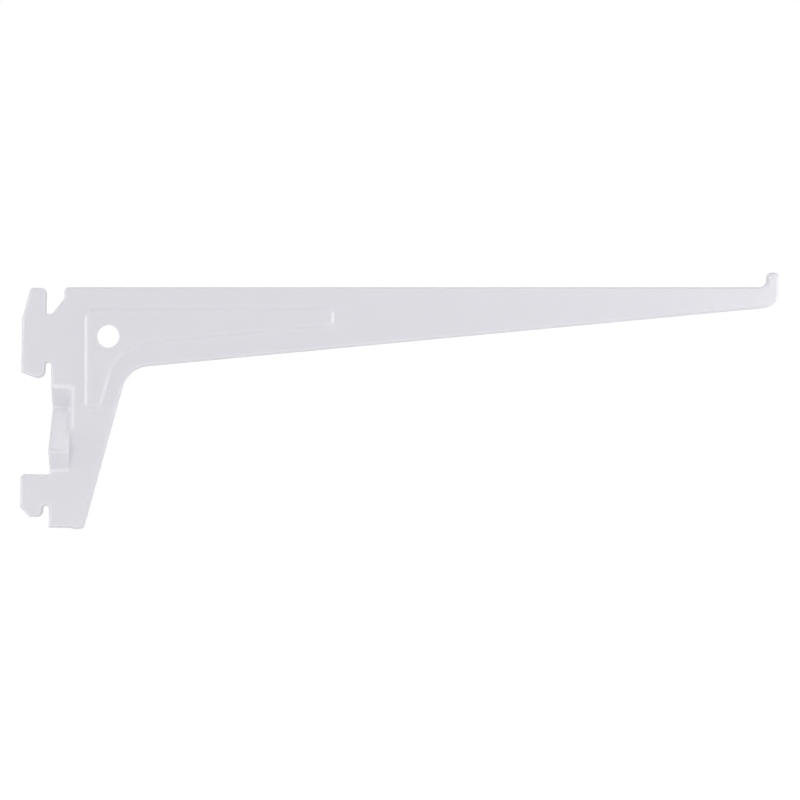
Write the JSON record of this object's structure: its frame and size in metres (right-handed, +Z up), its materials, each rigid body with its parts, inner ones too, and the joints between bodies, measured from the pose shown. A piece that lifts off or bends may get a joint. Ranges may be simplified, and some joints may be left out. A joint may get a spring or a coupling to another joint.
{
  "type": "slotted shelf bracket",
  "caption": "Stamped steel shelf bracket that hooks into the slots of a wall rail, with a tapered arm, an upturned nose, a pressed wave, a raised stiffening panel and a round hole.",
  "frame": {"origin": "seat of the upper hook (the top of its slot) on the rail's face plane, in the middle of the sheet", "axes": "+X out from the wall along the arm, +Z up the plumb rail, +Y through the sheet, away from the side that the stiffening panel stands out on"},
  "size_m": [0.2638, 0.0114, 0.0938],
  "materials": {
    "powder_coat": "white powder coat, fine-textured satin"
  },
  "bodies": {
    "root": {"bracket": "powder_coat"}
  },
  "joints": []
}
